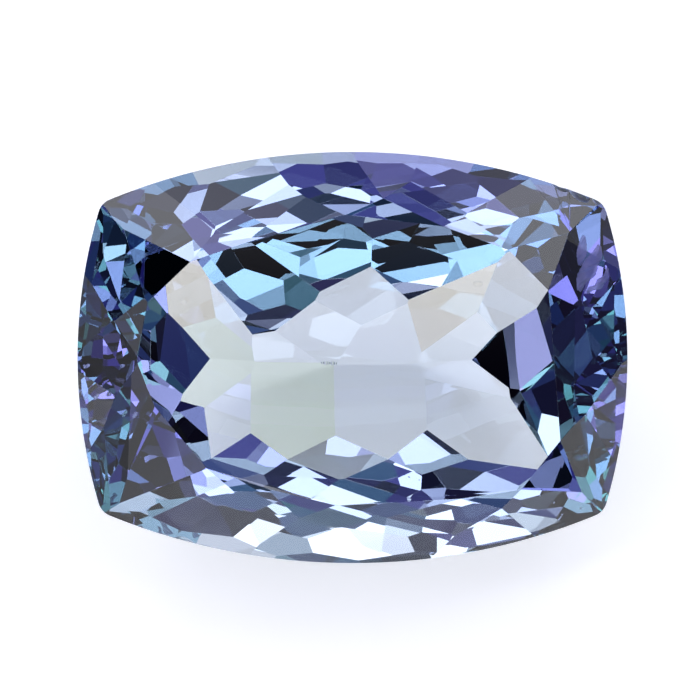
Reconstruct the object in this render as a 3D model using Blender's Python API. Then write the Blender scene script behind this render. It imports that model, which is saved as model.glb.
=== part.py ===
"""Cushion-cut tanzanite, one faceted stone lying on a facet of its pavilion.

The stone is cut the way a cutter works. A blank is trimmed to the plan of the girdle
and then by one flat facet after another. Each facet is laid through its meet points,
the corners that it shares with its neighbours. Lengths are in millimetres while the
stone is cut, with its table up, and in metres once it is laid down.
"""

from collections import namedtuple
from math import atan2, cos, pi, radians, sin, sqrt, tan

import bmesh
import bpy
import numpy as np
from mathutils import Matrix, Vector

# Driving dimensions of the stone, in millimetres
LENGTH = 14.4
WIDTH = 10.76
TABLE_HEIGHT = 1.5
GIRDLE_THICKNESS = 0.3
KEEL_DEPTH = 4.9

# The girdle's plan: radius of its bowed sides and tight corners, in millimetres, and how
# many flats make up half a side or one corner
LONG_SIDE_RADIUS = 16.9
SHORT_SIDE_RADIUS = 13.5
CORNER_RADIUS = 0.5
LONG_SIDE_FLATS = 16
SHORT_SIDE_FLATS = 11
CORNER_FLATS = 6

# Each tier's tilt from the table on an even stone of this cut, in degrees
STAR_TILT = 30.0
KITE_TILT = 38.0
BREAK_TILT = 45.0
KEEL_TILT = 31.0
SECOND_TILT = 39.0
THIRD_TILT = 44.0

# The inner facets of the pavilion pass at least this far under the girdle, in millimetres
INNER_ROOM = 0.55
# The two outer tiers of the pavilion: how far in from the girdle each one begins, and how
# far under the girdle the inner one of them would end, in millimetres
CREST_REACH = 1.9
CREST_ROOM = 0.25
SKIRT_REACH = 0.85

# How firmly a facet keeps to its tier's tilt and to a height that is set, against keeping
# to its meet points. Kites and breaks have three or more of them and lean on the tilt less.
TILT_PULL = 0.15
LOOSE_TILT_PULL = 0.045
HEIGHT_PULL = 20.0
# A facet passes a corner that isn't its own by at least this much, in millimetres
CLEARANCE = 0.01
CLEARANCE_PULL = 0.05
CLEARANCE_ROUNDS = 800

# Two corners nearer than this are one, in millimetres
MERGE = 0.012
CUT_TOLERANCE = 0.00001
METRES_PER_MM = 0.001

# The stone's finish
STONE_COLOUR = (0.30, 0.33, 0.78, 1.0)
POLISH_ROUGHNESS = 0.02
REFRACTION = 1.69

# Meet points of the crown on the plan: x along the stone and y across it, in millimetres.
# The table's corners run clockwise from the left end's upper corner.
TABLE = (
    (-5.35, 1.43), (-4.23, 2.50), (-2.76, 3.00), (-0.20, 3.73),
    (2.37, 3.42), (4.07, 2.81), (5.12, 1.74), (5.28, -0.22),
    (5.43, -2.16), (4.41, -3.44), (2.84, -3.68), (-0.41, -3.86),
    (-2.16, -3.44), (-3.78, -2.89), (-5.14, -1.30), (-5.64, -0.12),
)
# The star facets' outer corners, one beyond each side of the table
STARS = (
    (-5.98, 3.34), (-3.55, 3.31), (-1.30, 4.20), (0.82, 4.15),
    (3.08, 3.76), (5.64, 3.26), (6.22, 1.09), (6.09, -1.43),
    (6.03, -3.52), (3.89, -3.94), (0.93, -4.18), (-1.43, -4.20),
    (-3.05, -3.55), (-6.11, -3.81), (-6.22, -1.30), (-6.30, 1.19),
)
# The kite facets' outer corners, one out from each of the table's corners
KITES = (
    (-7.03, 2.16), (-5.30, 4.62), (-1.71, 4.57), (0.09, 5.17),
    (1.53, 4.59), (4.65, 4.73), (6.90, 2.11), (7.17, -0.07),
    (6.85, -2.74), (4.91, -4.80), (2.68, -4.65), (0.72, -5.12),
    (-2.47, -4.91), (-4.91, -4.83), (-6.95, -2.42), (-7.20, -0.07),
)
# The kites whose outer corner lies on the girdle
KITES_TO_GIRDLE = (0, 1, 5, 6, 7, 8, 9, 13, 14, 15)
# The stone's own corners, each with the star facet that points at it
CORNERS = {0: (-6.53, 3.91), 5: (6.40, 3.91), 8: (6.48, -3.99), 13: (-6.51, -4.07)}

# Meet points of the pavilion on the plan. The keel is the line along the stone's bottom,
# the forks are the ends of its short branches, the tips are where the next tier begins,
# and the sides, peaks and crests follow on the way out to the girdle.
PAVILION = {
    "keel_left": (-2.63, -0.09), "keel_a": (-1.27, -0.12), "keel_b": (-0.54, -0.14),
    "keel_c": (-0.43, -0.16), "keel_right": (1.71, -0.14),
    "fork_left_up": (-2.63, 0.54), "fork_left_down": (-2.63, -0.48), "fork_right": (1.90, -0.59),
    "tip_left": (-3.76, -0.03), "tip_left_up": (-3.55, 0.85), "tip_left_down": (-3.89, -1.30),
    "tip_up_a": (-1.73, 0.68), "tip_up_b": (0.27, 0.75), "tip_up_c": (1.77, 0.12),
    "tip_right": (3.13, -0.07), "tip_right_down": (4.12, -1.03),
    "tip_down_a": (-2.66, -1.98), "tip_down_b": (-0.43, -2.03), "tip_down_c": (1.95, -1.90),
    "side_left_up": (-4.52, 0.85), "side_left": (-4.57, -1.11), "side_left_down": (-3.70, -2.63),
    "side_up_a": (-3.78, 2.08), "side_up_b": (-0.92, 1.65), "side_up_c": (1.45, 1.51),
    "side_right_up": (3.29, 1.19), "side_right": (3.78, 0.64), "side_right_down": (4.12, -0.80),
    "side_down_a": (-1.71, -2.71), "side_down_b": (0.93, -2.68), "side_down_c": (3.00, -2.63),
    "side_down_d": (4.65, -1.85),
    "peak_up_a": (-2.76, 2.97), "peak_up_b": (-1.71, 2.32), "peak_up_c": (0.48, 2.42),
    "peak_up_d": (2.74, 2.03), "crest_up_a": (-0.33, 3.08), "crest_up_b": (2.21, 3.05),
    "peak_down_a": (-2.21, -3.00), "peak_down_b": (-0.30, -3.23), "peak_down_c": (1.64, -2.97),
}

# Each inner facet of the pavilion: its tier's tilt, the way it faces on the plan in degrees
# from the right end, and its meet points
Facet = namedtuple("Facet", "tilt facing corners")
PAVILION_FACETS = {
    "keel_left_up": Facet(KEEL_TILT, 150, (
        "keel_left", "fork_left_up", "tip_left_up", "side_left_up", "tip_left")),
    "keel_left_down": Facet(KEEL_TILT, 210, (
        "keel_left", "tip_left", "side_left", "tip_left_down", "fork_left_down")),
    "keel_corner_left_up": Facet(KEEL_TILT, 115, (
        "fork_left_up", "tip_left_up", "side_up_a")),
    "keel_up_a": Facet(KEEL_TILT, 95, (
        "keel_left", "keel_a", "tip_up_a", "fork_left_up")),
    "keel_up_b": Facet(KEEL_TILT, 90, (
        "keel_a", "keel_b", "tip_up_b", "side_up_b", "tip_up_a")),
    "keel_up_c": Facet(KEEL_TILT, 85, (
        "keel_b", "keel_right", "tip_up_c", "side_up_c", "tip_up_b")),
    "keel_right_up": Facet(KEEL_TILT, 45, (
        "keel_right", "tip_up_c", "side_right_up", "side_right", "tip_right")),
    "keel_right": Facet(KEEL_TILT, 330, (
        "keel_right", "tip_right", "side_right_down", "tip_right_down", "fork_right")),
    "keel_corner_right": Facet(KEEL_TILT, 290, (
        "fork_right", "tip_right_down", "side_down_d", "side_down_c", "tip_down_c")),
    "keel_down_b": Facet(KEEL_TILT, 270, (
        "keel_c", "keel_right", "fork_right", "tip_down_c", "side_down_b", "tip_down_b")),
    "keel_down_a": Facet(KEEL_TILT, 268, (
        "keel_left", "keel_c", "tip_down_b", "side_down_a", "tip_down_a", "fork_left_down")),
    "keel_corner_left_down": Facet(KEEL_TILT, 235, (
        "fork_left_down", "tip_down_a", "side_left_down", "tip_left_down")),
    "second_left": Facet(SECOND_TILT, 180, ("tip_left", "side_left_up", "side_left")),
    "second_left_up": Facet(SECOND_TILT, 135, ("tip_left_up", "side_left_up", "side_up_a")),
    "second_left_down": Facet(SECOND_TILT, 228, ("tip_left_down", "side_left", "side_left_down")),
    "second_right": Facet(SECOND_TILT, 0, ("tip_right", "side_right", "side_right_down")),
    "second_right_up": Facet(SECOND_TILT, 50, ("side_right_up", "side_right")),
    "second_right_down": Facet(SECOND_TILT, 333, (
        "side_right_down", "tip_right_down", "side_down_d")),
    "second_up_a": Facet(SECOND_TILT, 100, (
        "tip_up_a", "side_up_a", "peak_up_a", "peak_up_b", "side_up_b")),
    "second_up_b": Facet(SECOND_TILT, 88, ("tip_up_b", "side_up_b", "peak_up_c", "side_up_c")),
    "second_up_c": Facet(SECOND_TILT, 70, ("tip_up_c", "side_up_c", "peak_up_d", "side_right_up")),
    "second_down_a": Facet(SECOND_TILT, 262, (
        "tip_down_a", "side_left_down", "peak_down_a", "side_down_a")),
    "second_down_b": Facet(SECOND_TILT, 270, (
        "tip_down_b", "side_down_a", "peak_down_b", "side_down_b")),
    "second_down_c": Facet(SECOND_TILT, 278, (
        "tip_down_c", "side_down_b", "peak_down_c", "side_down_c")),
    "third_up_a": Facet(THIRD_TILT, 90, ("side_up_b", "peak_up_b", "crest_up_a", "peak_up_c")),
    "third_up_b": Facet(THIRD_TILT, 80, ("side_up_c", "peak_up_c", "crest_up_b", "peak_up_d")),
    "third_down_a": Facet(THIRD_TILT, 268, ("side_down_a", "peak_down_a", "peak_down_b")),
    "third_down_b": Facet(THIRD_TILT, 272, ("side_down_b", "peak_down_b", "peak_down_c")),
}
# The facet that the stone lies on
RESTING_FACET = "keel_down_b"


def settle(points, facets, slopes, heights, over):
    """Planes z = a x + b y + c that pass through the facets' meet points as one net.

    Args:
        points: each corner's place on the plan.
        facets: the names of each facet's corners.
        slopes: each facet's rise along x and y as its tier has it, and how much that counts.
        heights: the corners whose height is set.
        over: 1 on the crown, where a facet passes over the corners that aren't its own,
            and -1 on the pavilion, where it passes under them, so that none is cut off.

    Returns:
        The plane (a, b, c) of each facet.
    """
    corners = list(points)
    names = list(facets)
    unknowns = len(corners) + 3 * len(names)

    def above(name, corner):
        """Row that gives how far the facet's plane passes above the corner."""
        row = np.zeros(unknowns)
        first = len(corners) + 3 * names.index(name)
        row[first:first + 3] = (*points[corner], 1)
        row[corners.index(corner)] = -1
        return row

    def single(place, pull):
        """Row that gives one unknown by itself."""
        row = np.zeros(unknowns)
        row[place] = pull
        return row

    rows = [above(name, corner) for name in names for corner in facets[name]]
    values = [0.0] * len(rows)
    for number, name in enumerate(names):
        rise, pull = slopes[name]
        for axis in (0, 1):
            rows.append(single(len(corners) + 3 * number + axis, pull))
            values.append(pull * rise[axis])
    for corner, height in heights.items():
        rows.append(single(corners.index(corner), HEIGHT_PULL))
        values.append(HEIGHT_PULL * height)
    rows = np.array(rows)
    strangers = [(name, corner) for name in names for corner in corners if corner not in facets[name]]
    passing = CLEARANCE_PULL * over * np.array([above(*pair) for pair in strangers])
    least = CLEARANCE_PULL * CLEARANCE
    inverse = np.linalg.inv(rows.T @ rows + passing.T @ passing)
    wanted = rows.T @ np.array(values)
    clear = np.full(len(passing), least)
    push = np.zeros(len(passing))
    for _ in range(CLEARANCE_ROUNDS):
        found = inverse @ (wanted + passing.T @ (clear - push))
        gap = passing @ found
        clear = np.maximum(gap + push, least)
        push += gap - clear
    return dict(zip(names, found[len(corners):].reshape(-1, 3)))


def quarter_outline():
    """Plan of the girdle from the middle of its right end to just before its upper middle."""
    short = Vector((LENGTH / 2 - SHORT_SIDE_RADIUS, 0))
    long = Vector((0, WIDTH / 2 - LONG_SIDE_RADIUS))
    # The corner's centre lies a corner radius inside both sides
    gap = long - short
    near = SHORT_SIDE_RADIUS - CORNER_RADIUS
    far = LONG_SIDE_RADIUS - CORNER_RADIUS
    along = (near ** 2 - far ** 2 + gap.length_squared) / (2 * gap.length)
    way = gap.normalized()
    centre = short + way * along + Vector((-way.y, way.x)) * sqrt(near ** 2 - along ** 2)
    start = atan2(centre.y - short.y, centre.x - short.x)
    end = atan2(centre.y - long.y, centre.x - long.x)
    arcs = (
        (short, SHORT_SIDE_RADIUS, 0, start, SHORT_SIDE_FLATS),
        (centre, CORNER_RADIUS, start, end, CORNER_FLATS),
        (long, LONG_SIDE_RADIUS, end, pi / 2, LONG_SIDE_FLATS),
    )
    places = []
    for middle, radius, begin, finish, flats in arcs:
        for step in range(flats):
            turn = begin + (finish - begin) * step / flats
            places.append(middle + Vector((cos(turn), sin(turn))) * radius)
    return places


def girdle_outline():
    """Plan of the stone, counter-clockwise: four bowed sides and four tight corners."""
    quarter = quarter_outline()
    back = [Vector((-p.x, p.y)) for p in reversed(quarter)]
    upper = quarter + [Vector((0, WIDTH / 2))] + back
    lower = [-p for p in upper[1:-1]]
    return upper + lower


def girdle_places():
    """Places round the girdle at which the crown's facets end, clockwise from the left."""
    places = []
    for number, kite in enumerate(KITES):
        places.append(kite)
        if number in CORNERS:
            places.append(CORNERS[number])
    return places


def halfway(places):
    """Middle of each pair of neighbours in a closed ring of places."""
    return [np.add(p, q) / 2 for p, q in zip(places, places[1:] + places[:1])]


def crown_planes():
    """Every crown facet but the table: stars, kites, and the breaks next to the girdle."""
    count = len(TABLE)
    points = {f"table_{number}": place for number, place in enumerate(TABLE)}
    points.update({f"star_{number}": place for number, place in enumerate(STARS)})
    points.update({f"kite_{number}": place for number, place in enumerate(KITES)})
    points.update({f"corner_{number}": place for number, place in CORNERS.items()})
    facets = {}
    slopes = {}

    def lay(name, tilt, pull, start, end):
        """Add a facet that falls outwards from its start corners to its end corners."""
        way = np.mean([points[c] for c in end], axis=0) - np.mean([points[c] for c in start], axis=0)
        facets[name] = start + end
        slopes[name] = (-way / np.linalg.norm(way) * tan(radians(tilt)), pull)

    for number in range(count):
        table = f"table_{number}"
        next_table = f"table_{(number + 1) % count}"
        star = f"star_{number}"
        last_star = f"star_{(number - 1) % count}"
        kite = f"kite_{number}"
        next_kite = f"kite_{(number + 1) % count}"
        side = np.subtract(points[next_table], points[table])
        outward = np.array((-side[1], side[0])) / np.linalg.norm(side)
        facets[f"star_facet_{number}"] = (table, next_table, star)
        slopes[f"star_facet_{number}"] = (-outward * tan(radians(STAR_TILT)), TILT_PULL)
        lay(f"kite_facet_{number}", KITE_TILT, LOOSE_TILT_PULL, (table,), (last_star, star, kite))
        rim = [kite, next_kite]
        if number in CORNERS:
            rim.insert(1, f"corner_{number}")
        for first, second in zip(rim, rim[1:]):
            lay(f"break_from_{first}", BREAK_TILT, LOOSE_TILT_PULL, (star,), (first, second))
    heights = {f"table_{number}": TABLE_HEIGHT for number in range(count)}
    heights.update({f"kite_{number}": 0 for number in KITES_TO_GIRDLE})
    heights.update({f"corner_{number}": 0 for number in CORNERS})
    return settle(points, facets, slopes, heights, 1)


def inner_pavilion_planes():
    """The pavilion's facets that show through the table, laid through their meet points."""
    facets = {name: facet.corners for name, facet in PAVILION_FACETS.items()}
    slopes = {}
    for name, facet in PAVILION_FACETS.items():
        turn = radians(facet.facing)
        slopes[name] = (np.array((cos(turn), sin(turn))) * tan(radians(facet.tilt)), TILT_PULL)
    points = dict(PAVILION)
    heights = {"keel_left": -KEEL_DEPTH, "keel_right": -KEEL_DEPTH}
    for number, place in enumerate(girdle_places()):
        points[f"girdle_{number}"] = place
        heights[f"girdle_{number}"] = -GIRDLE_THICKNESS - INNER_ROOM
    return settle(points, facets, slopes, heights, -1)


def height_at(planes, place):
    """Height of the pavilion over a place on the plan."""
    return max(a * place[0] + b * place[1] + c for a, b, c in planes)


def outer_tier(planes, outline, places, reach, room):
    """One tier of facets between the pavilion's inner facets and the girdle.

    Args:
        planes: the facets that the pavilion has so far.
        outline: plan of the girdle.
        places: where on the plan the tier's facets are, each facing as the girdle does there.
        reach: how far in from the girdle the facets begin, on the surface that is cut already.
        room: how far under the girdle's lower edge they would end.

    Returns:
        The tier's planes.
    """
    tier = []
    for place in places:
        nearest = min(range(len(outline)), key=lambda i: (outline[i] - Vector(place)).length)
        side = outline[(nearest + 1) % len(outline)] - outline[nearest - 1]
        outward = Vector((side.y, -side.x)).normalized()
        start = outline[nearest] - outward * reach
        low = height_at(planes, start)
        a, b = outward * (-GIRDLE_THICKNESS - room - low) / reach
        tier.append((a, b, low - a * start.x - b * start.y))
    return tier


def cut(stone, through, facing):
    """Take off everything in front of a plane and close the stone with a flat facet."""
    result = bmesh.ops.bisect_plane(
        stone, geom=stone.verts[:] + stone.edges[:] + stone.faces[:],
        plane_co=through, plane_no=facing, dist=CUT_TOLERANCE, clear_outer=True,
    )
    edges = [item for item in result["geom_cut"] if isinstance(item, bmesh.types.BMEdge)]
    rim = [edge for edge in edges if edge.is_boundary]
    if rim:
        bmesh.ops.edgeloop_fill(stone, edges=rim)


def cut_stone():
    """The whole stone in millimetres, table up, with the girdle's upper edge at height 0."""
    outline = girdle_outline()
    places = girdle_places()
    inner = inner_pavilion_planes()
    pavilion = list(inner.values())
    pavilion += outer_tier(pavilion, outline, places, CREST_REACH, CREST_ROOM)
    pavilion += outer_tier(pavilion, outline, halfway(places), SKIRT_REACH, 0)
    stone = bmesh.new()
    bmesh.ops.create_cube(stone, size=2 * LENGTH)
    bmesh.ops.translate(stone, vec=(0, 0, TABLE_HEIGHT - LENGTH), verts=stone.verts)
    for number, place in enumerate(outline):
        side = place - outline[number - 1]
        cut(stone, (*place, 0), (side.y, -side.x, 0))
    for a, b, c in crown_planes().values():
        cut(stone, (0, 0, c), (-a, -b, 1))
    for a, b, c in pavilion:
        cut(stone, (0, 0, c), (a, b, -1))
    bmesh.ops.remove_doubles(stone, verts=stone.verts, dist=MERGE)
    bmesh.ops.recalc_face_normals(stone, faces=stone.faces)
    return stone, inner[RESTING_FACET]


def lay_down(stone, plane):
    """Turn the stone so that it lies on the facet in this plane, its length along X.

    It ends over the middle of the ground it covers, with its lowest facet at height 0.
    """
    a, b = plane[:2]
    resting = Vector((a, b, -1)).rotation_difference(Vector((0, 0, -1))).to_matrix()
    along = resting @ Vector((1, 0, 0))
    level = Matrix.Rotation(-atan2(along.y, along.x), 3, "Z")
    turned = (level @ resting).to_4x4() * METRES_PER_MM
    bmesh.ops.transform(stone, matrix=turned, verts=stone.verts)
    low = [min(v.co[axis] for v in stone.verts) for axis in range(3)]
    high = [max(v.co[axis] for v in stone.verts) for axis in range(3)]
    ground = Vector(((low[0] + high[0]) / 2, (low[1] + high[1]) / 2, low[2]))
    bmesh.ops.translate(stone, vec=-ground, verts=stone.verts)


def crystal():
    """Clear blue violet stone with polished facets."""
    finish = bpy.data.materials.new("tanzanite")
    finish.use_nodes = True
    shader = finish.node_tree.nodes["Principled BSDF"]
    shader.inputs["Base Color"].default_value = STONE_COLOUR
    shader.inputs["Roughness"].default_value = POLISH_ROUGHNESS
    shader.inputs["IOR"].default_value = REFRACTION
    shader.inputs["Transmission Weight"].default_value = 1.0
    return finish


def main():
    """Cut the stone, lay it down and give it its finish."""
    for old in list(bpy.data.objects):
        bpy.data.objects.remove(old, do_unlink=True)
    parts = bpy.data.collections.new("cushion_cut_tanzanite")
    bpy.context.scene.collection.children.link(parts)
    stone, resting = cut_stone()
    lay_down(stone, resting)
    mesh = bpy.data.meshes.new("stone")
    stone.to_mesh(mesh)
    stone.free()
    mesh.materials.append(crystal())
    parts.objects.link(bpy.data.objects.new("stone", mesh))


if __name__ == "__main__":
    main()
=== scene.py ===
"""Looks of a cushion-cut tanzanite that lies on one facet of its pavilion.

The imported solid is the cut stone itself. This scene takes a merged copy of it, softens
its facet edges, chips its girdle and its keel, and gives each facet the tint that the
crystal shows along that direction. A feather and a few grains lie inside the stone.
One dome of soft boxes lights it over a pale floor, and the camera looks straight down
on the table.
"""

import logging
import math
from dataclasses import dataclass, field
from enum import Enum
from typing import Callable, Union

import bpy
from mathutils import Matrix, Vector


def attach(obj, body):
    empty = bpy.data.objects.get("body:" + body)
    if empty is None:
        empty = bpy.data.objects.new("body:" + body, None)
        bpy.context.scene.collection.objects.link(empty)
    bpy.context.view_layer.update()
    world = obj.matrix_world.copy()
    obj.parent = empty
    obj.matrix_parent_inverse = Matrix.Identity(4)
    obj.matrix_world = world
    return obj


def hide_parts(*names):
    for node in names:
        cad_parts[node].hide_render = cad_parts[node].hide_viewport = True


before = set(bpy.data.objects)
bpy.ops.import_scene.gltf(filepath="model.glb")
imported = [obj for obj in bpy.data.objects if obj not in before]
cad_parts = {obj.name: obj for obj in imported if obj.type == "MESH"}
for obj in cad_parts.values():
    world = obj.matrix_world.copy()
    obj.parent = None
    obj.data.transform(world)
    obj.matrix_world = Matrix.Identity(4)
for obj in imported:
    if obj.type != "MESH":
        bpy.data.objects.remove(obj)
log = logging.getLogger("tanzanite")

MM = 0.001
Colour = tuple[float, float, float]
Feed = Union[bpy.types.NodeSocket, float, Colour, Vector]


def deselect() -> None:
    """Leave nothing selected, so that an operator acts on one piece alone."""
    if bpy.context.object and bpy.context.object.mode != "OBJECT":
        bpy.ops.object.mode_set(mode="OBJECT")
    bpy.ops.object.select_all(action="DESELECT")


def only(piece: bpy.types.Object) -> None:
    """Select one piece and make it active.

    Args:
        piece: the object that the next operators act on.
    """
    deselect()
    piece.select_set(True)
    bpy.context.view_layer.objects.active = piece


def apply_all(piece: bpy.types.Object) -> None:
    """Apply every modifier of a piece, first to last.

    Args:
        piece: the object whose modifiers are applied.
    """
    only(piece)
    for modifier in list(piece.modifiers):
        bpy.ops.object.modifier_apply(modifier=modifier.name)


def settle(piece: bpy.types.Object) -> None:
    """Put a piece's place into its mesh, so its object sits at the origin unturned.

    Args:
        piece: the object that was added or moved by its transform.
    """
    only(piece)
    bpy.ops.object.transform_apply(location=True, rotation=True, scale=True)


@dataclass(frozen=True)
class Facing:
    """The stone's own directions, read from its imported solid."""

    along: Vector
    upward: Vector
    outward: Vector
    middle: Vector

    @classmethod
    def of(cls, node: bpy.types.Object, crown: float) -> "Facing":
        """Read the directions from the table, which is the widest facet.

        Args:
            node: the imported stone.
            crown: height of the table above the girdle's upper edge.

        Returns:
            The directions, with the middle of the outline at the girdle's upper edge.
        """
        table = max(node.data.polygons, key=lambda face: face.area)
        outward = Vector(table.normal)
        along = Vector((outward.z, 0, -outward.x)).normalized()
        upward = outward.cross(along)
        points = [corner.co for corner in node.data.vertices]
        sides = [point.dot(along) for point in points]
        heights = [point.dot(upward) for point in points]
        middle = along * (min(sides) + max(sides)) / 2
        middle += upward * (min(heights) + max(heights)) / 2
        middle += outward * (max(point.dot(outward) for point in points) - crown)
        return cls(along, upward, outward, middle)

    def place(self, along: float, upward: float, outward: float) -> Vector:
        """Find a point from its distances along the stone's own directions.

        Args:
            along: distance along the stone's length, in metres.
            upward: distance across the stone, toward its far side.
            outward: distance above the girdle's upper edge.

        Returns:
            The point in the part's frame.
        """
        return self.middle + self.along * along + self.upward * upward + self.outward * outward

    def turned(self) -> Matrix:
        """The turn from plain axes to the stone's own directions."""
        return Matrix((self.along, self.upward, self.outward)).transposed()

    def bearing(self, normal: Vector) -> float:
        """The side that a facet faces, in degrees from the right, turning upward."""
        return math.degrees(math.atan2(normal.dot(self.upward), normal.dot(self.along))) % 360

    def tilt(self, normal: Vector) -> float:
        """The slope of a facet away from the table, in degrees."""
        return math.degrees(math.acos(max(-1.0, min(1.0, normal.dot(self.outward)))))


class Wiring:
    """Adds nodes to one tree and joins them."""

    def __init__(self, tree: bpy.types.NodeTree) -> None:
        """Start on a tree.

        Args:
            tree: the node tree of a material or of the world.
        """
        self.nodes = tree.nodes
        self.links = tree.links

    def add(self, kind: str, **settings: object) -> bpy.types.Node:
        """Add a node with its settings.

        Args:
            kind: the node's type name.
            settings: properties of the node and their values.

        Returns:
            The new node.
        """
        node = self.nodes.new(kind)
        for name, value in settings.items():
            setattr(node, name, value)
        return node

    def feed(self, socket: bpy.types.NodeSocket, value: Feed) -> None:
        """Link a source to a socket, or write a plain value in it.

        Args:
            socket: the input to fill.
            value: another node's output, or a number, colour or direction.
        """
        if isinstance(value, bpy.types.NodeSocket):
            self.links.new(value, socket)
        else:
            socket.default_value = value

    def sum(self, operation: str, first: Feed, second: Feed = 0.0) -> bpy.types.NodeSocket:
        """Work out one step of arithmetic.

        Args:
            operation: the Math node's operation.
            first: the first value.
            second: the second value, where the operation has one.

        Returns:
            The result's socket.
        """
        node = self.add("ShaderNodeMath", operation=operation)
        self.feed(node.inputs[0], first)
        self.feed(node.inputs[1], second)
        return node.outputs[0]

    def reach(self, vector: bpy.types.NodeSocket, way: Vector) -> bpy.types.NodeSocket:
        """How far a vector reaches along a direction.

        Args:
            vector: the vector's socket.
            way: the direction, of length one.

        Returns:
            The dot product's socket.
        """
        node = self.add("ShaderNodeVectorMath", operation="DOT_PRODUCT")
        self.feed(node.inputs[0], vector)
        self.feed(node.inputs[1], way)
        return node.outputs["Value"]

    def ramp(self, value: Feed, low: float, high: float, start: float = 0.0,
             end: float = 1.0) -> bpy.types.NodeSocket:
        """Pass softly from one number to another.

        Args:
            value: what drives the passage.
            low: where it begins.
            high: where it is complete.
            start: the number before it.
            end: the number after it.

        Returns:
            The passage's socket.
        """
        node = self.add("ShaderNodeMapRange", interpolation_type="SMOOTHSTEP")
        self.feed(node.inputs["Value"], value)
        node.inputs["From Min"].default_value = low
        node.inputs["From Max"].default_value = high
        node.inputs["To Min"].default_value = start
        node.inputs["To Max"].default_value = end
        return node.outputs["Result"]

    def blend(self, share: Feed, first: Feed, second: Feed) -> bpy.types.NodeSocket:
        """Mix two colours.

        Args:
            share: how much of the second colour shows.
            first: the first colour.
            second: the second colour.

        Returns:
            The mixed colour's socket.
        """
        node = self.add("ShaderNodeMix", data_type="RGBA")
        self.feed(node.inputs[0], share)
        self.feed(node.inputs[6], first)
        self.feed(node.inputs[7], second)
        return node.outputs[2]

    def scale(self, colour: Feed, strength: Feed) -> bpy.types.NodeSocket:
        """Make a colour stronger or weaker.

        Args:
            colour: the colour.
            strength: what its parts are multiplied by.

        Returns:
            The new colour's socket.
        """
        node = self.add("ShaderNodeVectorMath", operation="SCALE")
        self.feed(node.inputs[0], colour if isinstance(colour, bpy.types.NodeSocket) else colour[:3])
        self.feed(node.inputs["Scale"], strength)
        return node.outputs["Vector"]


class Tint(Enum):
    """Colours that the crystal shows along different directions."""

    CLEAR = (1.0, 1.0, 1.0)
    SKY = (0.62, 0.66, 1.0)
    VIOLET = (0.30, 0.30, 0.88)
    TEAL = (0.25, 0.46, 0.52)
    SPRUCE = (0.15, 0.42, 0.36)
    LILAC = (0.48, 0.38, 0.85)
    INDIGO = (0.24, 0.21, 0.62)
    DUSK = (0.42, 0.44, 0.92)
    FROST = (0.98, 1.0, 1.0)
    LEAF = (0.95, 1.0, 0.78)
    SAND = (1.0, 0.85, 0.62)
    LAGOON = (0.50, 0.85, 0.95)


@dataclass(frozen=True)
class Pleochroism:
    """Chooses each facet's tint from the way it faces."""

    facing: Facing
    flat: float = 5.0
    low_crown: float = 40.0
    girdle: float = 85.0
    pavilion: float = 95.0
    keel_tier: float = 140.0
    swing: Vector = Vector((37.0, 61.0, 23.0))

    def near(self, bearing: float, middle: float, reach: float) -> bool:
        """Whether a bearing lies within a number of degrees of another."""
        return abs((bearing - middle + 180) % 360 - 180) < reach

    def chance(self, normal: Vector) -> float:
        """A number from 0 to 1 that differs from facet to facet."""
        return 0.5 + 0.5 * math.sin(normal.dot(self.swing))

    def tint(self, normal: Vector) -> Tint:
        """Choose a facet's tint.

        Args:
            normal: the facet's normal.

        Returns:
            The tint.
        """
        tilt = self.facing.tilt(normal)
        bearing = self.facing.bearing(normal)
        if tilt > self.pavilion:
            return self.pavilion_tint(tilt, bearing)
        if tilt < self.flat or tilt > self.girdle:
            return Tint.CLEAR
        return self.crown_tint(normal, tilt, bearing)

    def pavilion_tint(self, tilt: float, bearing: float) -> Tint:
        """Choose the tint of a facet under the girdle.

        Args:
            tilt: its slope away from the table, in degrees.
            bearing: the side that it faces, in degrees.

        Returns:
            The tint.
        """
        if tilt < self.keel_tier:
            return self.outer_tint(bearing)
        sandy = self.near(bearing, 127, 1.5) and tilt < 146
        if sandy or self.near(bearing, 71, 3):
            return Tint.SAND
        if self.near(bearing, 180, 55) or self.near(bearing, 262, 6):
            return Tint.LEAF
        return Tint.CLEAR

    def outer_tint(self, bearing: float) -> Tint:
        """Choose the tint of a steep facet between the girdle and the keel facets."""
        if self.near(bearing, 90, 30):
            return Tint.LAGOON
        if self.near(bearing, 0, 40) or self.near(bearing, 180, 40):
            return Tint.TEAL
        return Tint.CLEAR

    def crown_tint(self, normal: Vector, tilt: float, bearing: float) -> Tint:
        """Choose the tint of a facet between the table and the girdle.

        Args:
            normal: the facet's normal.
            tilt: its slope away from the table, in degrees.
            bearing: the side that it faces, in degrees.

        Returns:
            The tint.
        """
        steep = tilt >= self.low_crown
        if self.near(bearing, 90, 38):
            return Tint.VIOLET if steep else Tint.SKY
        if self.near(bearing, 270, 30):
            return Tint.FROST
        if self.near(bearing, 0, 30) or self.near(bearing, 180, 30):
            return self.side_tint(normal)
        if self.near(bearing, 270, 70):
            return Tint.INDIGO
        return Tint.DUSK

    def side_tint(self, normal: Vector) -> Tint:
        """Choose between the tints of the stone's two ends."""
        chance = self.chance(normal)
        if chance > 0.6:
            return Tint.LILAC
        if chance < 0.33:
            return Tint.SPRUCE
        return Tint.TEAL


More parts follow.
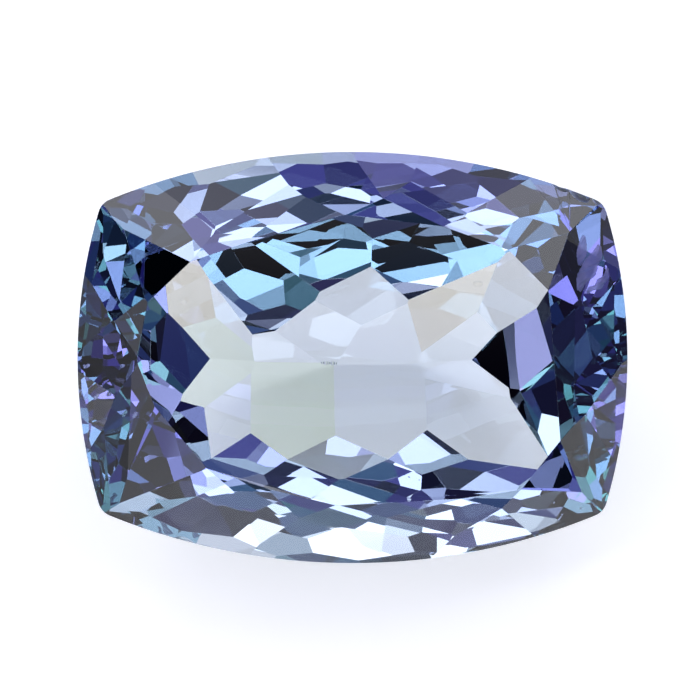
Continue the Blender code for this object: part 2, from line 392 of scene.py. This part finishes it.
@dataclass(frozen=True)
class Crystal:
    """Clear tanzanite: see-through, blue to violet through its depth."""

    name: str = "tanzanite"
    absorbed: Colour = (0.28, 0.49, 0.70)
    density: float = 60.0
    refraction: float = 1.69
    roughness: float = 0.0

    def material(self) -> bpy.types.Material:
        """Make the finish.

        Returns:
            The see-through material, whose base colour reads the facets' tints.
        """
        made = bpy.data.materials.new(self.name)
        made.use_nodes = True
        wiring = Wiring(made.node_tree)
        shader = wiring.nodes["Principled BSDF"]
        tints = wiring.add("ShaderNodeAttribute", attribute_name=CutStone.TINTS)
        wiring.feed(shader.inputs["Base Color"], tints.outputs["Color"])
        shader.inputs["Roughness"].default_value = self.roughness
        shader.inputs["IOR"].default_value = self.refraction
        shader.inputs["Transmission Weight"].default_value = 1.0
        depth = wiring.add("ShaderNodeVolumeAbsorption")
        depth.inputs["Color"].default_value = (*self.absorbed, 1)
        depth.inputs["Density"].default_value = self.density
        wiring.feed(wiring.nodes["Material Output"].inputs["Volume"], depth.outputs["Volume"])
        return made


@dataclass(frozen=True)
class Flaw:
    """Pale, scattering matter inside the stone: a feather's walls or a grain."""

    name: str = "pale_flaw"
    colour: Colour = (0.86, 0.90, 1.0)
    cloud: Colour = (0.62, 0.70, 0.92)
    scale: float = 2500.0
    roughness: float = 0.55
    alpha: float = 0.55

    def material(self) -> bpy.types.Material:
        """Make the finish.

        Returns:
            A thin, cloudy white that lets part of the light pass.
        """
        made = bpy.data.materials.new(self.name)
        made.use_nodes = True
        wiring = Wiring(made.node_tree)
        shader = wiring.nodes["Principled BSDF"]
        place = wiring.add("ShaderNodeTexCoord").outputs["Object"]
        noise = wiring.add("ShaderNodeTexNoise")
        wiring.feed(noise.inputs["Vector"], place)
        noise.inputs["Scale"].default_value = self.scale
        share = wiring.ramp(noise.outputs["Fac"], 0.35, 0.65)
        tone = wiring.blend(share, (*self.cloud, 1), (*self.colour, 1))
        wiring.feed(shader.inputs["Base Color"], tone)
        shader.inputs["Roughness"].default_value = self.roughness
        shader.inputs["Alpha"].default_value = self.alpha
        return made


@dataclass(frozen=True)
class Chip:
    """A small shell-shaped bite out of the girdle's edge."""

    bearing: float
    radius: float
    bite: float
    level: float = -0.12 * MM
    flat: float = 0.7

    def cutter(self, facing: Facing, rim: Callable[[float], Vector]) -> bpy.types.Object:
        """Model the bite as the lens that it takes away.

        Args:
            facing: the stone's directions.
            rim: finds the girdle's point on a bearing.

        Returns:
            The lens, at its place.
        """
        turn = math.radians(self.bearing)
        away = facing.along * math.cos(turn) + facing.upward * math.sin(turn)
        centre = rim(self.bearing) + facing.outward * self.level
        centre += away * (self.radius * self.flat - self.bite)
        return lens(centre, away, facing.outward, self.radius, self.flat)


@dataclass(frozen=True)
class Nick:
    """A tiny bite out of the keel, which shows through the table as a bright dot."""

    share: float
    radius: float
    bite: float
    flat: float = 0.8

    def cutter(self, facing: Facing, keel: tuple[Vector, Vector]) -> bpy.types.Object:
        """Model the bite as the lens that it takes away.

        Args:
            facing: the stone's directions.
            keel: the two ends of the keel.

        Returns:
            The lens, at its place.
        """
        centre = keel[0].lerp(keel[1], self.share)
        centre -= facing.outward * (self.radius * self.flat - self.bite)
        return lens(centre, -facing.outward, facing.along, self.radius, self.flat)


def lens(centre: Vector, away: Vector, side: Vector, radius: float, flat: float) -> bpy.types.Object:
    """Model a flattened, ribbed ball, as a shell-shaped fracture leaves it.

    Args:
        centre: its middle.
        away: the direction that it is flattened along.
        side: a direction across it.
        radius: half its width.
        flat: its depth as a share of its width.

    Returns:
        The lens, with its place in its mesh.
    """
    deselect()
    bpy.ops.mesh.primitive_uv_sphere_add(segments=20, ring_count=12, radius=radius)
    made = bpy.context.object
    made.name = "bite"
    bpy.ops.object.mode_set(mode="EDIT")
    bpy.ops.mesh.select_all(action="SELECT")
    bpy.ops.transform.resize(value=(1.25, 0.8, flat))
    bpy.ops.object.mode_set(mode="OBJECT")
    across = away.cross(side).normalized()
    made.matrix_world = Matrix((across, away.cross(across), away)).transposed().to_4x4()
    made.location = centre
    settle(made)
    return made


@dataclass
class CutStone:
    """The faceted body with its softened edges."""

    TINTS = "tint"

    node: bpy.types.Object
    facing: Facing
    edge: float = 0.016 * MM
    merge: float = 0.002 * MM
    shortest: float = 0.05 * MM
    flatness: float = math.radians(0.4)
    finish: Crystal = field(default_factory=Crystal)
    worn: Crystal = Crystal(name="bruted_tanzanite", roughness=0.32)
    girdle_slopes: tuple[float, float] = (84.0, 96.0)
    chips: tuple[Chip, ...] = (
        Chip(bearing=40.5, radius=0.30 * MM, bite=0.07 * MM),
        Chip(bearing=37.0, radius=0.38 * MM, bite=0.10 * MM, level=-0.02 * MM),
        Chip(bearing=33.0, radius=0.26 * MM, bite=0.07 * MM),
        Chip(bearing=31.0, radius=0.16 * MM, bite=0.05 * MM, level=-0.2 * MM),
        Chip(bearing=224.5, radius=0.20 * MM, bite=0.05 * MM),
        Chip(bearing=229.0, radius=0.34 * MM, bite=0.09 * MM, level=-0.05 * MM),
        Chip(bearing=233.5, radius=0.28 * MM, bite=0.07 * MM),
        Chip(bearing=278.6, radius=0.14 * MM, bite=0.05 * MM, level=-0.05 * MM),
        Chip(bearing=171.0, radius=0.12 * MM, bite=0.04 * MM),
    )
    nicks: tuple[Nick, ...] = (
        Nick(share=0.12, radius=0.05 * MM, bite=0.03 * MM),
        Nick(share=0.31, radius=0.09 * MM, bite=0.04 * MM),
        Nick(share=0.46, radius=0.05 * MM, bite=0.03 * MM),
        Nick(share=0.72, radius=0.08 * MM, bite=0.04 * MM),
        Nick(share=0.9, radius=0.05 * MM, bite=0.03 * MM),
    )

    def rim(self, bearing: float) -> Vector:
        """Find the girdle's outermost point on a bearing.

        Args:
            bearing: the side of the stone, in degrees.

        Returns:
            The point, level with the girdle's upper edge.
        """
        turn = math.radians(bearing)
        away = self.facing.along * math.cos(turn) + self.facing.upward * math.sin(turn)
        reach = math.inf
        for face in self.node.data.polygons:
            toward = face.normal.dot(away)
            if toward > 0.2 and abs(face.normal.dot(self.facing.outward)) < 0.05:
                corner = self.node.data.vertices[face.vertices[0]].co
                reach = min(reach, (corner - self.facing.middle).dot(face.normal) / toward)
        return self.facing.middle + away * reach

    def keel(self) -> tuple[Vector, Vector]:
        """Find the keel, the lowest edge under the table.

        Returns:
            Its left end and its right end.
        """
        outward = self.facing.outward
        low = min(corner.co.dot(outward) for corner in self.node.data.vertices)
        deep = [corner.co for corner in self.node.data.vertices if corner.co.dot(outward) < low + 0.06 * MM]
        ends = sorted(deep, key=lambda point: point.dot(self.facing.along))
        return ends[0].copy(), ends[-1].copy()

    def wear(self, piece: bpy.types.Object) -> None:
        """Take the chips out of the girdle and the nicks out of the keel.

        Args:
            piece: the stone's body.
        """
        cutters = [chip.cutter(self.facing, self.rim) for chip in self.chips]
        ends = self.keel()
        cutters += [nick.cutter(self.facing, ends) for nick in self.nicks]
        for cutter in cutters:
            cutter.data.materials.append(piece.data.materials[0])
            cutter.data.materials.append(piece.data.materials[1])
            for face in cutter.data.polygons:
                face.material_index = 1
            bite = piece.modifiers.new("bite", "BOOLEAN")
            bite.object = cutter
            bite.solver = "MANIFOLD"
            apply_all(piece)
            bpy.data.objects.remove(cutter, do_unlink=True)

    def dress(self, piece: bpy.types.Object) -> None:
        """Give the facets the polished finish and the girdle the bruted one.

        Args:
            piece: the stone's body.
        """
        piece.data.materials.clear()
        piece.data.materials.append(self.finish.material())
        piece.data.materials.append(self.worn.material())
        for face in piece.data.polygons:
            slope = self.facing.tilt(face.normal)
            girdle = self.girdle_slopes[0] < slope < self.girdle_slopes[1]
            face.material_index = 1 if girdle else 0

    def body(self) -> bpy.types.Object:
        """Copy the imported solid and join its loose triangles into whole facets.

        Returns:
            The merged copy.
        """
        mesh = self.node.data.copy()
        piece = bpy.data.objects.new("cut_stone", mesh)
        bpy.context.scene.collection.objects.link(piece)
        only(piece)
        if mesh.has_custom_normals:
            bpy.ops.mesh.customdata_custom_splitnormals_clear()
        bpy.ops.object.mode_set(mode="EDIT")
        bpy.ops.mesh.select_all(action="SELECT")
        bpy.ops.mesh.remove_doubles(threshold=self.merge)
        bpy.ops.mesh.dissolve_limited(angle_limit=self.flatness)
        bpy.ops.mesh.select_all(action="SELECT")
        bpy.ops.mesh.remove_doubles(threshold=self.shortest)
        bpy.ops.object.mode_set(mode="OBJECT")
        bpy.ops.object.shade_flat()
        return piece

    def soften(self, piece: bpy.types.Object) -> None:
        """Round the facet edges by the hair that polishing leaves.

        Args:
            piece: the stone's body.
        """
        bevel = piece.modifiers.new("polish", "BEVEL")
        bevel.width = self.edge
        bevel.segments = 1
        bevel.limit_method = "ANGLE"
        bevel.angle_limit = math.radians(2)
        apply_all(piece)

    def paint(self, piece: bpy.types.Object) -> None:
        """Give each facet its tint, as an attribute of the piece's own mesh.

        Args:
            piece: the stone's body.
        """
        chooser = Pleochroism(self.facing)
        mesh = piece.data
        tints = mesh.color_attributes.new(self.TINTS, "FLOAT_COLOR", "CORNER")
        for face in mesh.polygons:
            colour = chooser.tint(face.normal).value
            for corner in face.loop_indices:
                tints.data[corner].color = (*colour, 1)

    def build(self) -> bpy.types.Object:
        """Build and dress the stone.

        Returns:
            The finished piece.
        """
        piece = self.body()
        self.soften(piece)
        self.dress(piece)
        self.wear(piece)
        self.paint(piece)
        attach(piece, "root")
        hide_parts("stone")
        return piece


@dataclass(frozen=True)
class Wisp:
    """One curved wall of the feather."""

    along: float
    upward: float
    outward: float
    length: float
    width: float
    turn: float
    lean: float


@dataclass
class Feather:
    """A healed crack near the right end: a few thin, curved, ragged walls."""

    facing: Facing
    wall: float = 0.012 * MM
    ragged: float = 0.12
    finish: Flaw = Flaw(name="feather_white")
    wisps: tuple[Wisp, ...] = (
        Wisp(6.02 * MM, 2.30 * MM, -0.05 * MM, 1.5 * MM, 0.5 * MM, 62.0, 35.0),
        Wisp(6.28 * MM, 1.95 * MM, -0.10 * MM, 1.0 * MM, 0.35 * MM, 48.0, 60.0),
        Wisp(5.82 * MM, 2.75 * MM, 0.02 * MM, 0.8 * MM, 0.3 * MM, 75.0, 20.0),
    )

    def wall_of(self, wisp: Wisp, number: int) -> bpy.types.Object:
        """Model one wall: a ragged, curved sheet with a thin body.

        Args:
            wisp: its place and size.
            number: its place in the row, which sets how it is ragged.

        Returns:
            The wall, with its place in its mesh.
        """
        deselect()
        bpy.ops.mesh.primitive_grid_add(x_subdivisions=18, y_subdivisions=8, size=1)
        made = bpy.context.object
        made.name = "feather_wall"
        bpy.ops.object.mode_set(mode="EDIT")
        bpy.ops.mesh.select_all(action="SELECT")
        bpy.ops.transform.resize(value=(wisp.length, wisp.width, 1))
        bpy.ops.object.mode_set(mode="OBJECT")
        for corner in made.data.vertices:
            run = corner.co.x / wisp.length
            side = corner.co.y / wisp.width
            taper = 1 - (2 * abs(run)) ** 2 * 0.8
            fray = 1 + self.ragged * math.sin(37 * run + 9 * number) * math.cos(23 * run + 5 * side)
            corner.co.y = corner.co.y * taper * fray
            corner.co.z = wisp.width * (0.35 * math.sin(4 * run + number) + 0.12 * math.sin(15 * run + 7 * side))
        turn = Matrix.Rotation(math.radians(wisp.turn), 3, "Z") @ Matrix.Rotation(math.radians(wisp.lean), 3, "X")
        made.matrix_world = (self.facing.turned() @ turn).to_4x4()
        made.location = self.facing.place(wisp.along, wisp.upward, wisp.outward)
        settle(made)
        body = made.modifiers.new("body", "SOLIDIFY")
        body.thickness = self.wall
        body.offset = 0
        apply_all(made)
        return made

    def build(self) -> bpy.types.Object:
        """Build and dress the feather.

        Returns:
            The finished piece.
        """
        walls = [self.wall_of(wisp, number) for number, wisp in enumerate(self.wisps)]
        deselect()
        for wall in walls:
            wall.select_set(True)
        bpy.context.view_layer.objects.active = walls[0]
        bpy.ops.object.join()
        piece = bpy.context.object
        piece.name = "feather"
        piece.data.materials.clear()
        piece.data.materials.append(self.finish.material())
        bpy.ops.object.shade_smooth()
        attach(piece, "root")
        return piece


@dataclass
class Grains:
    """Tiny pale grains and flaws just under the crown."""

    facing: Facing
    finish: Flaw = Flaw(name="grain_white", alpha=0.85)
    places: tuple[tuple[float, float, float, float], ...] = (
        (1.48 * MM, -3.12 * MM, 0.75 * MM, 0.035 * MM),
        (1.74 * MM, -3.20 * MM, 0.70 * MM, 0.025 * MM),
        (4.75 * MM, -3.30 * MM, 0.20 * MM, 0.030 * MM),
        (5.15 * MM, -3.55 * MM, 0.05 * MM, 0.045 * MM),
        (5.55 * MM, -3.45 * MM, 0.00 * MM, 0.030 * MM),
        (5.90 * MM, -3.80 * MM, -0.10 * MM, 0.040 * MM),
        (6.20 * MM, -3.60 * MM, -0.10 * MM, 0.025 * MM),
        (5.40 * MM, -3.95 * MM, -0.05 * MM, 0.025 * MM),
    )

    def grain(self) -> bpy.types.Object:
        """Model one grain: a ball broken off along two planes.

        Returns:
            The grain, one unit in radius.
        """
        deselect()
        bpy.ops.mesh.primitive_ico_sphere_add(subdivisions=2, radius=1)
        made = bpy.context.object
        bpy.ops.object.mode_set(mode="EDIT")
        for point, normal in (((0.4, 0, 0.1), (1, 0.3, 0.2)), ((0, -0.5, 0), (-0.2, -1, 0.4))):
            bpy.ops.mesh.select_all(action="SELECT")
            bpy.ops.mesh.bisect(plane_co=point, plane_no=normal, use_fill=True, clear_outer=True)
        bpy.ops.mesh.select_all(action="SELECT")
        bpy.ops.transform.resize(value=(1.0, 0.7, 0.5))
        bpy.ops.object.mode_set(mode="OBJECT")
        return made

    def build(self) -> bpy.types.Object:
        """Copy the grain to its places and dress it.

        Returns:
            The finished piece.
        """
        first = self.grain()
        copies = []
        for number, (along, upward, outward, radius) in enumerate(self.places):
            copy = bpy.data.objects.new("grain", first.data.copy())
            bpy.context.scene.collection.objects.link(copy)
            spin = Matrix.Rotation(number * 1.3, 3, "X") @ Matrix.Rotation(number * 0.7, 3, "Z")
            copy.matrix_world = (self.facing.turned() @ spin @ Matrix.Scale(radius, 3)).to_4x4()
            copy.location = self.facing.place(along, upward, outward)
            settle(copy)
            copies.append(copy)
        bpy.data.objects.remove(first, do_unlink=True)
        deselect()
        for copy in copies:
            copy.select_set(True)
        bpy.context.view_layer.objects.active = copies[0]
        bpy.ops.object.join()
        piece = bpy.context.object
        piece.name = "grains"
        piece.data.materials.clear()
        piece.data.materials.append(self.finish.material())
        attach(piece, "root")
        return piece


@dataclass(frozen=True)
class PaleFloor:
    """Plain pale floor, lit a little from below as on a light table."""

    name: str = "pale_floor"
    colour: Colour = (0.90, 0.90, 0.92)
    glow: float = 0.47
    light: Colour = (1.0, 0.97, 0.90)

    def material(self) -> bpy.types.Material:
        """Make the finish."""
        made = bpy.data.materials.new(self.name)
        made.use_nodes = True
        shader = made.node_tree.nodes["Principled BSDF"]
        shader.inputs["Base Color"].default_value = (*self.colour, 1)
        shader.inputs["Roughness"].default_value = 0.6
        shader.inputs["Specular IOR Level"].default_value = 0.1
        shader.inputs["Emission Color"].default_value = (*self.light, 1)
        shader.inputs["Emission Strength"].default_value = self.glow
        return made


@dataclass(frozen=True)
class Dome:
    """A dome of soft boxes in crossing rows, with deep blue gaps between them."""

    facing: Facing
    rates: Colour = (8.0, 13.0, 11.0)
    shifts: Colour = (2.0, 0.1, 1.0)
    weave: float = 0.3
    balance: float = 0.2
    softness: float = 0.3
    boxes: Colour = (2.2, 2.25, 2.5)
    low_boxes: float = 0.3
    navy: Colour = (0.02, 0.06, 0.17)
    teal: Colour = (0.02, 0.15, 0.15)
    indigo: Colour = (0.11, 0.09, 0.30)
    gap_rate: float = 4.0
    gap_shifts: tuple[float, float] = (1.0, 2.0)
    panel_rate: float = 9.0
    panel_shifts: tuple[float, float] = (0.5, 1.3)
    panel_floor: float = 0.12
    panel_glow: float = 1.1
    horizon: float = 0.005

    def wave(self, wiring: Wiring, run: Feed, rate: float, shift: float) -> bpy.types.NodeSocket:
        """Rise and fall along one direction.

        Args:
            wiring: the world's tree.
            run: how far a ray's direction reaches along it.
            rate: how quickly the wave repeats.
            shift: where it starts.

        Returns:
            The wave, from minus one to one.
        """
        return wiring.sum("SINE", wiring.sum("ADD", wiring.sum("MULTIPLY", run, rate), shift))

    def rows(self, wiring: Wiring, runs: list) -> bpy.types.NodeSocket:
        """Cross the rows of soft boxes.

        Args:
            wiring: the world's tree.
            runs: how far a ray reaches along the stone's three directions.

        Returns:
            One on a soft box and none in a gap.
        """
        waves = [self.wave(wiring, *row) for row in zip(runs, self.rates, self.shifts)]
        plaid = wiring.sum("MULTIPLY", waves[0], waves[1])
        third = wiring.sum("MULTIPLY", waves[2], self.weave)
        value = wiring.sum("SUBTRACT", wiring.sum("ADD", plaid, third), self.balance)
        return wiring.ramp(value, -self.softness, self.softness)

    def gaps(self, wiring: Wiring, runs: list) -> bpy.types.NodeSocket:
        """Colour the gaps, from navy to teal one way and to indigo the other.

        Args:
            wiring: the world's tree.
            runs: how far a ray reaches along the stone's three directions.

        Returns:
            The gaps' colour.
        """
        shares = []
        for run, shift in zip(runs, self.gap_shifts):
            half = wiring.sum("MULTIPLY", self.wave(wiring, run, self.gap_rate, shift), 0.5)
            shares.append(wiring.sum("ADD", half, 0.5))
        cool = wiring.blend(shares[0], (*self.navy, 1), (*self.teal, 1))
        return wiring.blend(shares[1], cool, (*self.indigo, 1))

    def panels(self, wiring: Wiring, runs: list) -> bpy.types.NodeSocket:
        """Dim some of the panels between the soft boxes and light others.

        Args:
            wiring: the world's tree.
            runs: how far a ray reaches along the stone's three directions.

        Returns:
            The strength of the gaps' colour.
        """
        first = wiring.sum("ADD", runs[0], wiring.sum("MULTIPLY", runs[1], 0.7))
        second = wiring.sum("SUBTRACT", wiring.sum("ADD", runs[1], runs[2]),
                            wiring.sum("MULTIPLY", runs[0], 0.6))
        waves = [self.wave(wiring, run, self.panel_rate, shift)
                 for run, shift in zip((first, second), self.panel_shifts)]
        crossed = wiring.sum("MULTIPLY", waves[0], waves[1])
        return wiring.ramp(crossed, -0.5, 0.5, self.panel_floor, self.panel_floor + self.panel_glow)

    def world(self) -> bpy.types.World:
        """Make the world's light.

        Returns:
            The world: the dome for light, and plain white where the camera looks past.
        """
        world = bpy.data.worlds.new("studio_dome")
        world.use_nodes = True
        wiring = Wiring(world.node_tree)
        way = wiring.add("ShaderNodeTexCoord").outputs["Generated"]
        axes = (self.facing.along, self.facing.upward, self.facing.outward)
        runs = [wiring.reach(way, axis) for axis in axes]
        height = wiring.reach(way, Vector((0, 0, 1)))
        boxes = wiring.scale((*self.boxes, 1), wiring.ramp(height, 0.1, 0.6, self.low_boxes, 1.0))
        gaps = wiring.scale(self.gaps(wiring, runs), self.panels(wiring, runs))
        over = wiring.blend(self.rows(wiring, runs), gaps, boxes)
        level = wiring.ramp(height, -self.horizon, self.horizon)
        light = wiring.nodes["Background"]
        wiring.feed(light.inputs["Color"], wiring.blend(level, (1, 1, 1, 1), over))
        seen = wiring.add("ShaderNodeBackground")
        seen.inputs["Color"].default_value = (1, 1, 1, 1)
        path = wiring.add("ShaderNodeLightPath")
        choice = wiring.add("ShaderNodeMixShader")
        wiring.feed(choice.inputs[0], path.outputs["Is Camera Ray"])
        wiring.feed(choice.inputs[1], light.outputs[0])
        wiring.feed(choice.inputs[2], seen.outputs[0])
        wiring.feed(wiring.nodes["World Output"].inputs["Surface"], choice.outputs[0])
        return world


@dataclass
class Studio:
    """The floor, the dome and the camera."""

    facing: Facing
    floor_size: float = 1.2
    floor_gap: float = 0.02 * MM
    distance: float = 0.4
    frame_px: int = 700
    px_per_mm: float = 38.2
    left_px: float = 2.5
    up_px: float = 7.5
    sensor: float = 36.0

    def floor(self) -> None:
        """Lay the floor under the stone."""
        deselect()
        bpy.ops.mesh.primitive_plane_add(size=self.floor_size, location=(0, 0, -self.floor_gap))
        ground = bpy.context.object
        ground.name = "floor"
        ground.data.materials.append(PaleFloor().material())

    def camera(self) -> None:
        """Look straight down on the table, framed as the photograph is."""
        facing = self.facing
        aim = facing.middle
        aim += (facing.upward * self.up_px - facing.along * self.left_px) / self.px_per_mm * MM
        data = bpy.data.cameras.new("camera")
        data.sensor_width = self.sensor
        data.lens = self.sensor * self.px_per_mm * self.distance / MM / self.frame_px
        data.clip_end = 5
        camera = bpy.data.objects.new("camera", data)
        bpy.context.scene.collection.objects.link(camera)
        camera.matrix_world = facing.turned().to_4x4()
        camera.location = aim + facing.outward * self.distance
        bpy.context.scene.camera = camera

    def build(self) -> None:
        """Set up the studio."""
        self.floor()
        bpy.context.scene.world = Dome(self.facing).world()
        bpy.context.scene.view_settings.view_transform = "Standard"
        self.camera()


def main() -> None:
    """Build the stone, what lies in it and its studio."""
    logging.basicConfig(level=logging.INFO, format="%(message)s")
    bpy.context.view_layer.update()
    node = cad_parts["stone"]
    facing = Facing.of(node, crown=1.5 * MM)
    for part in (CutStone(node, facing), Feather(facing), Grains(facing)):
        piece = part.build()
        log.info("%s: %d faces", piece.name, len(piece.data.polygons))
    Studio(facing).build()


if __name__ == "__main__":
    main()
